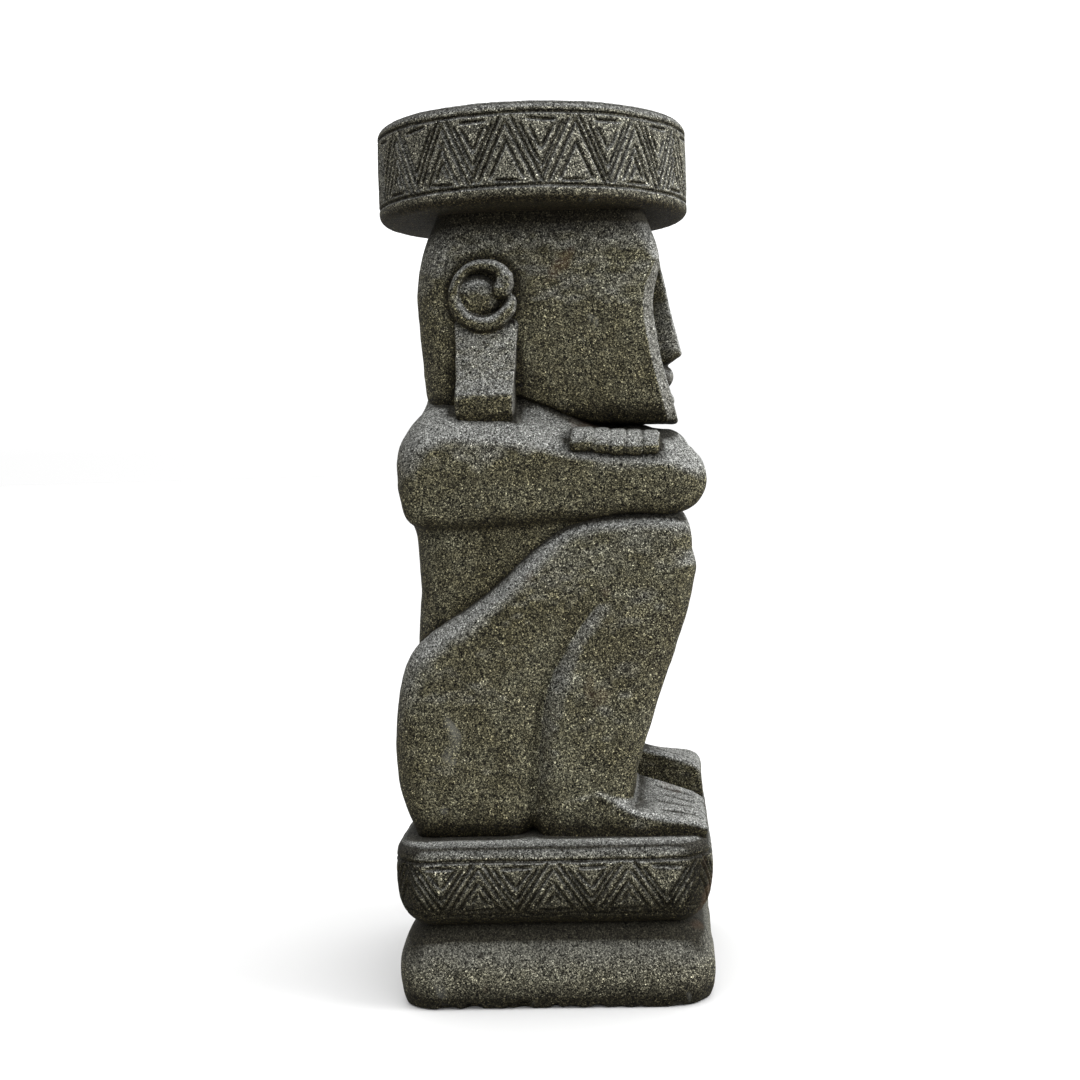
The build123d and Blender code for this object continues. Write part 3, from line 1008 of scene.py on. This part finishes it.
# --- The stone ------------------------------------------------------------------------------
def speckled_stone():
    """Hard grey-olive volcanic stone, matt, with dark and pale grains and small pits, and light and shade
    painted into its colour.
    """
    material = bpy.data.materials.new("speckled_olive_stone")
    material.use_nodes = True
    material.node_tree.nodes.clear()
    bench = Bench(material.node_tree)
    place = bench.node("ShaderNodeTexCoord")[3]

    def noise(scale, detail=2.0, roughness=0.5, warp=0.0):
        sockets = {"Vector": place, "Scale": scale, "Detail": detail}
        sockets.update({"Roughness": roughness, "Distortion": warp})
        return bench.node("ShaderNodeTexNoise", None, sockets)[0]

    def grains(scale):
        """How far each point is from the middle of its grain, and two random numbers for the grain."""
        sockets = {"Vector": place, "Scale": scale, "Randomness": 1.0}
        distance, tone, *_ = bench.node("ShaderNodeTexVoronoi", {"feature": "F1"}, sockets)
        first, second, _ = bench.node("ShaderNodeSeparateColor", None, {0: tone})
        return distance, first, second

    def ramp(value, *stops):
        stops = [(at, tone if isinstance(tone, tuple) else grey(tone)) for at, tone in stops]
        return bench.node("ShaderNodeValToRGB", {"stops": stops}, {0: value})[0]

    # The bare stone, in clouds of lighter and darker olive.
    cloud = noise(6.0, 4.0, 0.6, 0.4)
    mottle = noise(60.0, 4.0, 0.65)
    body = ramp(
        cloud * 0.6 + mottle * 0.4,
        (0.36, (0.031, 0.028, 0.0155, 1)),
        (0.5, (0.042, 0.039, 0.0245, 1)),
        (0.64, (0.057, 0.055, 0.038, 1)),
    )

    # Paler on the hat and plinth. Then painted light and shade: lighter on faces turned up, on proud edges
    # and on the face's forward-facing rim; darker on faces turned back or down, and in creases, recesses and
    # under the hat, where it is partly grime too.
    normal = bench.node("ShaderNodeNewGeometry")[1]
    _, behind, up = bench.node("ShaderNodeSeparateXYZ", None, {0: normal})
    sheltered = bench.node("ShaderNodeAttribute", {"attribute_name": "sheltered"})[2]
    proud = bench.node("ShaderNodeAttribute", {"attribute_name": "proud"})[2]
    cut = bench.node("ShaderNodeAttribute", {"attribute_name": "cut"})[2]
    above = bench.node("ShaderNodeSeparateXYZ", None, {0: place})[2]
    # The painted top light is weaker low down: a third of it below 10 cm, all of it from about 18 cm up.
    top_light_low_fade = 0.35 + 0.65 * ((above - 0.1) * 12.0).held()
    pale = ((above - 0.889) * 60.0).held() * 0.75 + ((0.186 - above) * 60.0).held() * 0.35
    body = bench.tint(pale, body, (0.085, 0.083, 0.068, 1))
    # Painted light: faces turned up are made lighter.
    painted_top_light = ((up - 0.02) * 2.4).held()
    colour = bench.tint(painted_top_light * 0.78 * top_light_low_fade, body, (0.165, 0.168, 0.163, 1))
    # Painted highlight: proud edges are made lighter.
    colour = bench.tint(((proud - 0.25) * 1.6).held() * 0.45, colour, (0.12, 0.12, 0.112, 1))
    # Painted light: faces turned forward at the height of the head, such as the face's rim chamfer, are made
    # lighter.
    rim = ((-0.4 - behind) * 3.0).held() * ((above - 0.63) * 30.0).held() * ((0.86 - above) * 30.0).held()
    colour = bench.tint(rim * 0.45, colour, (0.19, 0.19, 0.182, 1))
    # Painted shade: faces turned back are darker.
    colour = bench.tint(((behind - 0.3) * 1.6).held() * 0.6, colour, (0.016, 0.014, 0.009, 1))
    # Painted shade: faces turning down grow darker.
    colour = bench.tint(((0.05 - up) * 1.2).held() * 0.62, colour, (0.016, 0.013, 0.006, 1))
    # Painted shade in creases and recesses, partly crevice grime.
    colour = bench.tint(((sheltered - 0.03) * 1.7).held() * 0.9, colour, (0.007, 0.006, 0.003, 1))
    # Painted shade: undersides darker still.
    colour = bench.tint(((-0.4 - up) * 2.0).held() * 0.6, colour, (0.006, 0.005, 0.002, 1))
    # Painted shade under the hat, partly grime: a dark band where the head meets the hat.
    shade_and_grime_under_hat = ((above - 0.856) * 30.0).held() * ((0.905 - above) * 100.0).held()
    colour = bench.tint(shade_and_grime_under_hat * 0.6, colour, (0.010, 0.008, 0.004, 1))

    # Mineral grains of three sizes, and dust between them.
    _, fine_a, fine_b = grains(900.0)
    _, coarse_a, coarse_b = grains(600.0)
    fine = 2.9 * ramp(fine_a, (0.0, 0.036), (0.3, 0.18), (0.55, 0.34), (0.8, 0.5), (0.93, 0.75), (1.0, 1.0))
    coarse_tones = (0.0, 0.023), (0.16, 0.23), (0.36, 0.43), (0.86, 0.5), (0.95, 0.77), (1.0, 1.0)
    coarse = 2.38 * ramp(coarse_a, *coarse_tones)
    dust = noise(1700.0, 2.0, 0.7)
    powder = 2.1 * ramp(dust, (0.32, 0.12), (0.5, 0.45), (0.68, 1.0))
    # The grain shows less where the painted top light and front light lie.
    contrast = 1.36 - 0.6 * (painted_top_light + rim).held()
    colour = bench.tint(1.0, colour, (fine * coarse * powder) ** contrast, "MULTIPLY")
    _, speck, _ = grains(780.0)
    colour = bench.tint(((0.2 - speck) * 14.0).held() * 0.55, colour, (0.006, 0.005, 0.003, 1))
    # Painted shade in the chiselled grooves.
    colour = bench.tint(((cut - 0.34) * 2.8).held() * 0.95, colour, (0.003, 0.0028, 0.002, 1))

    # Rust stain, lichen and small holes.
    stain = ((noise(9.0, 3.0, 0.6) - 0.66) * 9.0).held()
    colour = bench.tint(stain * 0.3, colour, (0.11, 0.06, 0.035, 1))
    lichen = ((noise(15.0, 3.0, 0.55, 0.6) - 0.69) * 14.0).held()
    colour = bench.tint(lichen * 0.3, colour, (0.2, 0.2, 0.18, 1))

    holes, hole_a, _ = grains(130.0)
    pits = ((0.30 - holes * 1.0) * 7.0).held() * ((hole_a - 0.8) * 20.0).held()
    colour = bench.tint(pits * 0.8, colour, (0.01, 0.009, 0.007, 1))

    relief = coarse_b * 0.3 + fine_b * 0.3 + dust * 0.4 + noise(200.0, 3.0, 0.6) * 1.2 - pits * 1.6
    bump = bench.node("ShaderNodeBump", None, {"Strength": 0.8, "Distance": 0.0011, "Height": relief})[0]
    roughness = 0.72 + 0.2 * fine_a
    sockets = {"Base Color": colour, "Roughness": roughness, "Normal": bump, "Specular IOR Level": 0.06}
    surface = bench.node("ShaderNodeBsdfPrincipled", None, sockets)[0]
    bench.node("ShaderNodeOutputMaterial", None, {0: surface})
    return material


def plain(name, colour):
    material = bpy.data.materials.new(name)
    material.use_nodes = True
    surface = material.node_tree.nodes["Principled BSDF"]
    surface.inputs["Base Color"].default_value = colour
    surface.inputs["Roughness"].default_value = 0.9
    return material


def chisel():
    """Cuts a network of strokes into a wall, and leaves the whole face slightly uneven."""
    tree = bpy.data.node_groups.new("chisel", "GeometryNodeTree")
    face = tree.interface
    face.new_socket("Wall", in_out="OUTPUT", socket_type="NodeSocketGeometry")
    for name, kind, value in (
        ("Wall", "NodeSocketGeometry", None),
        ("Strokes", "NodeSocketObject", None),
        ("Half width", "NodeSocketFloat", 0.0020),
        ("Depth", "NodeSocketFloat", 0.0040),
        ("Unevenness", "NodeSocketFloat", 0.0010),
        ("Seed", "NodeSocketFloat", 2.0),
        ("Stone", "NodeSocketMaterial", None),
    ):
        socket = face.new_socket(name, in_out="INPUT", socket_type=kind)
        if value is not None:
            socket.default_value = value
    bench = Bench(tree)
    wall, strokes, half_width, depth, unevenness, seed, stone, _ = bench.node("NodeGroupInput")
    lines = bench.node("GeometryNodeObjectInfo", {"transform_space": "RELATIVE"}, {"Object": strokes})[4]
    gap = bench.node("GeometryNodeProximity", {"target_element": "EDGES"}, {0: lines})[1]
    cut = (1.0 - gap / half_width).held()
    place = bench.node("GeometryNodeInputPosition")[0]

    def noise(scale, detail):
        sockets = {"Vector": place, "W": seed, "Scale": scale, "Detail": detail}
        return bench.node("ShaderNodeTexNoise", {"noise_dimensions": "4D"}, sockets)[0] - 0.5

    swell = (noise(20.0, 2.0) * 2.2 + noise(70.0, 2.0) * 0.9 + noise(220.0, 2.0) * 0.4) * unevenness
    push = swell - depth * cut**0.8
    normal = bench.node("GeometryNodeInputNormal")[0]
    offset = bench.node("ShaderNodeVectorMath", {"operation": "SCALE"}, {0: normal, "Scale": push})[0]
    carved = bench.node("GeometryNodeSetPosition", None, {"Geometry": wall, "Offset": offset})[0]
    # The groove mask is kept as cut, for the stone's painted shade in the grooves.
    settings = {"data_type": "FLOAT", "domain": "POINT"}
    sockets = {"Geometry": carved, "Name": "cut", "Value": cut}
    marked = bench.node("GeometryNodeStoreNamedAttribute", settings, sockets)[0]
    real = bench.node("GeometryNodeRealizeInstances", None, {0: marked})[0]
    finished = bench.node("GeometryNodeSetMaterial", None, {"Geometry": real, "Material": stone})[0]
    bench.node("NodeGroupOutput", None, {0: finished})
    return tree


def apply_chisel(wall, tree, strokes, **sizes):
    """Runs the chisel over a wall, leaves it a plain mesh and clears away the strokes."""
    modifier = wall.modifiers.new("chisel", "NODES")
    modifier.node_group = tree
    values = {"strokes": strokes, "stone": stone, "half_width": 0.0020, **sizes}
    for item in tree.interface.items_tree:
        name = item.name.replace(" ", "_").lower()
        if item.in_out == "INPUT" and name in values:
            modifier[item.identifier] = values[name]
    result = bpy.data.meshes.new_from_object(wall.evaluated_get(bpy.context.evaluated_depsgraph_get()))
    wall.modifiers.clear()
    wall.data = result
    bpy.data.objects.remove(strokes)


stone = speckled_stone()
cutter = chisel()
pieces = []


def settle(piece, *nodes):
    """Gives a finished piece its stone and its body, and hides the CAD nodes it stands for."""
    pieces.append(piece)
    piece.data.materials.clear()
    piece.data.materials.append(stone)
    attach(piece, "root")
    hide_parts(*nodes)


# --- Making the pieces ------------------------------------------------------------------------
settle(carve_head(), "head", "nose", "upper_lip", "lower_lip", "right_eye", "left_eye")
settle(carve_right_ear("right_ear_and_pendant", 61, False), "right_ear", "right_pendant")
settle(carve_right_ear("left_ear_and_pendant", 65, True), "left_ear", "left_pendant")
settle(carve_upper_body(), "torso", "right_arm", "left_arm", "right_forearm", "left_forearm")
settle(carve_right_hand("right_fingers", 71, False), "right_hand")
settle(carve_right_hand("left_fingers", 75, True), "left_hand")
settle(carve_right_leg("right_leg_and_foot", 41, False), "right_leg", "right_foot")
settle(carve_right_leg("left_leg_and_foot", 51, True, 23), "left_leg", "left_foot")
settle(carve_ground_block(), "ground_block")

hat = wrap("hat_drum", hat_rings(int(940 / ROUGH), 1.2 * ROUGH))
hat_round, hat_start = 2 * math.pi * HAT_RADIUS, math.radians(-4.7) * HAT_RADIUS
hat_strokes = stroke_network("hat_strokes", hat_point, hat_round, HAT_REPEATS, hat_start, HAT_LINES, 7)
apply_chisel(hat, cutter, hat_strokes, depth=0.0040, unevenness=0.0010, seed=2.0)
settle(hat, "hat")

frieze = wrap("frieze_block", frieze_rings(int(1000 / ROUGH), 1.25 * ROUGH))
frieze_strokes = stroke_network(
    "frieze_strokes", plinth_point, PLINTH_ROUND, PLINTH_REPEATS, -3.0, PLINTH_LINES, 8
)
apply_chisel(frieze, cutter, frieze_strokes, depth=0.0038, unevenness=0.0012, seed=5.0)
settle(frieze, "frieze_block")

for piece in pieces:
    mark_shade_and_highlight_masks(piece)

# --- Floor, light and camera --------------------------------------------------------------------
bpy.ops.mesh.primitive_plane_add(size=60, location=(0, 0, 0))
floor = bpy.context.object
floor.name = "floor"
floor.data.materials.append(plain("pale_floor", (0.42, 0.42, 0.42, 1)))


def lamp(name, size, place, target, power):
    """A round soft lamp aimed at a point."""
    light = bpy.data.lights.new(name, "AREA")
    light.shape = "DISK"
    light.size = size
    light.energy = power
    holder = bpy.data.objects.new(name, light)
    holder.location = place
    holder.rotation_euler = (Vector(target) - Vector(place)).to_track_quat("-Z", "Y").to_euler()
    bpy.context.scene.collection.objects.link(holder)


lamp("overhead", 2.4, (-0.3, -0.5, 3.0), (0, 0, 0.5), 30)
lamp("front_key", 1.6, (-0.9, -3.0, 1.5), (0, 0, 0.5), 130)

world = bpy.data.worlds.new("studio")
world.use_nodes = True
sky = Bench(world.node_tree)
world.node_tree.nodes.clear()
_, across, height = sky.node("ShaderNodeSeparateXYZ", None, {0: sky.node("ShaderNodeTexCoord")[0]})
turned = sky.node("ShaderNodeMath", {"operation": "ABSOLUTE"}, {0: across})[0] * across
strength = 1.02 + 2.2 * height.held() - 0.2 * turned
glow = sky.node("ShaderNodeBackground", None, {"Color": (1, 1, 1, 1), "Strength": strength})[0]
sky.node("ShaderNodeOutputWorld", None, {0: glow})
bpy.context.scene.world = world
bpy.context.scene.view_settings.view_transform = "Standard"

CAMERA_PLACE = Vector((-1.875, -0.129, 0.629))
CAMERA_TARGET = Vector((0.0, -0.0611, 0.5747))
CAMERA_ROLL = math.radians(-1.641)
camera = bpy.data.objects.new("camera", bpy.data.cameras.new("camera"))
camera.data.lens = 51.95
camera.data.sensor_width = 36
camera.data.shift_x = -0.0528
camera.data.shift_y = -0.0509
camera.location = CAMERA_PLACE
aim = (CAMERA_TARGET - CAMERA_PLACE).to_track_quat("-Z", "Y")
camera.rotation_euler = (aim.to_matrix() @ Matrix.Rotation(CAMERA_ROLL, 3, "Z")).to_euler()
bpy.context.scene.collection.objects.link(camera)
bpy.context.scene.camera = camera
